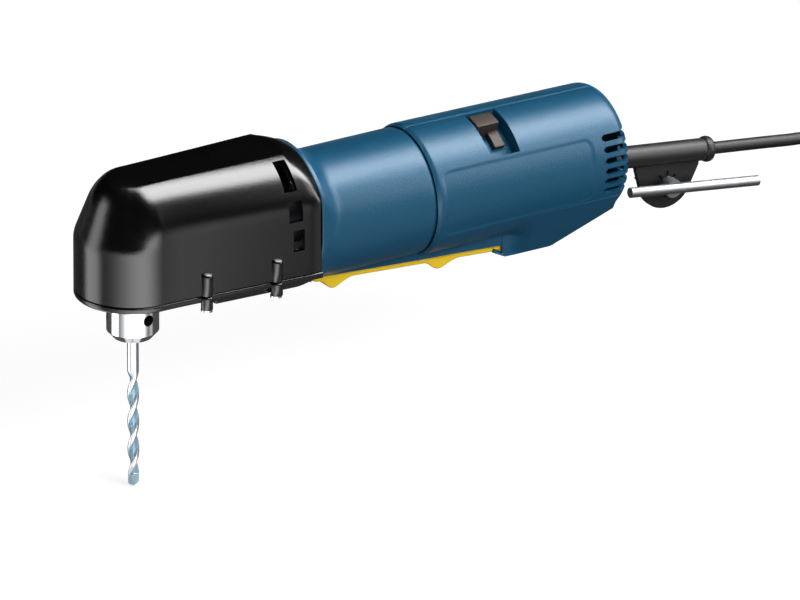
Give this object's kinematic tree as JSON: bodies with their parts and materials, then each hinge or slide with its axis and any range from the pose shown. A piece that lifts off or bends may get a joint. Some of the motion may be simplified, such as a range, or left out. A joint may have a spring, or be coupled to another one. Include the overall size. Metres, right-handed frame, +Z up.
{
  "type": "right angle drill",
  "caption": "Corded right angle drill with a black angle head, keyed chuck and masonry bit, blue motor housing, yellow paddle switch, reversing lever and a chuck key held on the cord boot.",
  "frame": {"origin": "on the motor axis at the middle of the barrel, where the hand holds the tool", "axes": "+X along the motor axis to the rear, +Z up; the spindle and the bit point to -Z"},
  "size_m": [0.775, 0.0875, 0.1706],
  "materials": {
    "black_nylon": "fine moulded grain, satin",
    "blue_nylon": "fine moulded grain, satin",
    "yellow_plastic": "moulded, semi-gloss",
    "rubber": "matt moulded rubber",
    "cord_jacket": "matt extruded jacket",
    "chrome": "bright plated",
    "steel": "ground or zinc-plated",
    "gear_steel": "hardened, oiled",
    "cast_aluminium": "die-cast, bare",
    "core_steel": "stacked laminations",
    "copper": "enamelled copper",
    "pale_nylon": "moulded",
    "brown_phenolic": "moulded, matt",
    "brass": "pressed",
    "carbon": "sintered carbon",
    "red_plastic": "moulded",
    "circuit_board": "potted board",
    "film_capacitor": "moulded case",
    "blue_paint": "light blue paint in the flutes, bare lands",
    "nickel": "nickel-plated brass"
  },
  "bodies": {
    "housing": {"armature_front_bearing": "gear_steel", "armature_rear_bearing": "gear_steel", "case_screws": "steel", "cord_boot": "rubber", "cord_clamp": "black_nylon", "cord_hank": "cord_jacket", "cord_lead": "cord_jacket", "cord_tie": "rubber", "field_coils": "copper", "gear_case": "cast_aluminium", "head_base": "black_nylon", "head_cover": "black_nylon", "head_screws": "steel", "housing_screws": "steel", "intermediate_front_bearing": "gear_steel", "intermediate_rear_bearing": "gear_steel", "key_holder": "rubber", "motor_housing": "blue_nylon", "paddle_pin": "steel", "plug_body": "rubber", "plug_pins": "nickel", "plunger_spring": "steel", "rear_housing_left": "blue_nylon", "rear_housing_right": "blue_nylon", "speed_module": "circuit_board", "spindle_lower_bearing": "gear_steel", "spindle_upper_bearing": "gear_steel", "stator_core": "core_steel", "suppressor": "film_capacitor", "trigger_switch": "black_nylon"},
    "armature": {"armature_shaft": "steel", "armature_core": "core_steel", "armature_winding": "copper", "commutator": "copper", "cooling_fan": "pale_nylon"},
    "intermediate": {"intermediate_shaft": "steel", "reduction_gear": "gear_steel"},
    "spindle": {"spindle": "steel", "crown_gear": "gear_steel", "chuck_body": "chrome", "drill_bit": "blue_paint"},
    "sleeve": {"chuck_sleeve": "chrome"},
    "jaw_1": {"chuck_jaw_1": "steel"},
    "jaw_2": {"chuck_jaw_2": "steel"},
    "jaw_3": {"chuck_jaw_3": "steel"},
    "paddle": {"switch_paddle": "yellow_plastic"},
    "plunger": {"switch_plunger": "red_plastic"},
    "brush_gear": {"brush_plate": "brown_phenolic", "brush_holders": "brass", "carbon_brushes": "carbon", "brush_springs": "steel", "direction_lever": "brown_phenolic"},
    "key": {"chuck_key": "steel"},
    "bar": {"key_bar": "steel"}
  },
  "joints": [
    {"name": "armature_turn", "type": "hinge", "parent": "housing", "child": "armature", "pos_m": [0, 0, 0], "axis": [1, 0, 0], "continuous": true},
    {"name": "intermediate_turn", "type": "hinge", "parent": "housing", "child": "intermediate", "pos_m": [-0.065, 0, 0.014], "axis": [1, 0, 0], "continuous": true},
    {"name": "spindle_turn", "type": "hinge", "parent": "housing", "child": "spindle", "pos_m": [-0.125, 0, 0], "axis": [0, 0, 1], "continuous": true},
    {"name": "sleeve_turn", "type": "hinge", "parent": "spindle", "child": "sleeve", "pos_m": [-0.125, 0, -0.015], "axis": [0, 0, 1], "range_deg": [0, 720]},
    {"name": "jaw_1_slide", "type": "slide", "parent": "spindle", "child": "jaw_1", "axis": [0.221, -0.0984, 0.9703], "range_m": [0, 0.003]},
    {"name": "jaw_2_slide", "type": "slide", "parent": "spindle", "child": "jaw_2", "axis": [-0.0253, 0.2406, 0.9703], "range_m": [0, 0.003]},
    {"name": "jaw_3_slide", "type": "slide", "parent": "spindle", "child": "jaw_3", "axis": [-0.1957, -0.1422, 0.9703], "range_m": [0, 0.003]},
    {"name": "paddle_press", "type": "hinge", "parent": "housing", "child": "paddle", "pos_m": [-0.0275, 0, -0.031], "axis": [0, -1, 0], "range_deg": [0, 1.7], "stiffness_Nm_per_rad": 8, "springref_deg": -3.44},
    {"name": "plunger_slide", "type": "slide", "parent": "housing", "child": "plunger", "axis": [0, 0, 1], "range_m": [0, 0.00356], "deforming": ["plunger_spring"]},
    {"name": "direction_swing", "type": "hinge", "parent": "housing", "child": "brush_gear", "pos_m": [0.065, 0, 0], "axis": [1, 0, 0], "range_deg": [0, 28]},
    {"name": "key_pull", "type": "slide", "parent": "housing", "child": "key", "axis": [0, -1, 0], "range_m": [0, 0.01]},
    {"name": "bar_slide", "type": "slide", "parent": "key", "child": "bar", "axis": [0.9917, 0, -0.1288], "range_m": [-0.008, 0.018]}
  ],
  "couplings": [
    {"joint": "intermediate_turn", "follows": "armature_turn", "ratio": -0.2069},
    {"joint": "spindle_turn", "follows": "armature_turn", "ratio": -0.049002},
    {"joint": "jaw_1_slide", "follows": "sleeve_turn", "m_per_rad": 0.000239},
    {"joint": "jaw_2_slide", "follows": "sleeve_turn", "m_per_rad": 0.000239},
    {"joint": "jaw_3_slide", "follows": "sleeve_turn", "m_per_rad": 0.000239},
    {"joint": "plunger_slide", "follows": "paddle_press", "m_per_rad": 0.119}
  ]
}
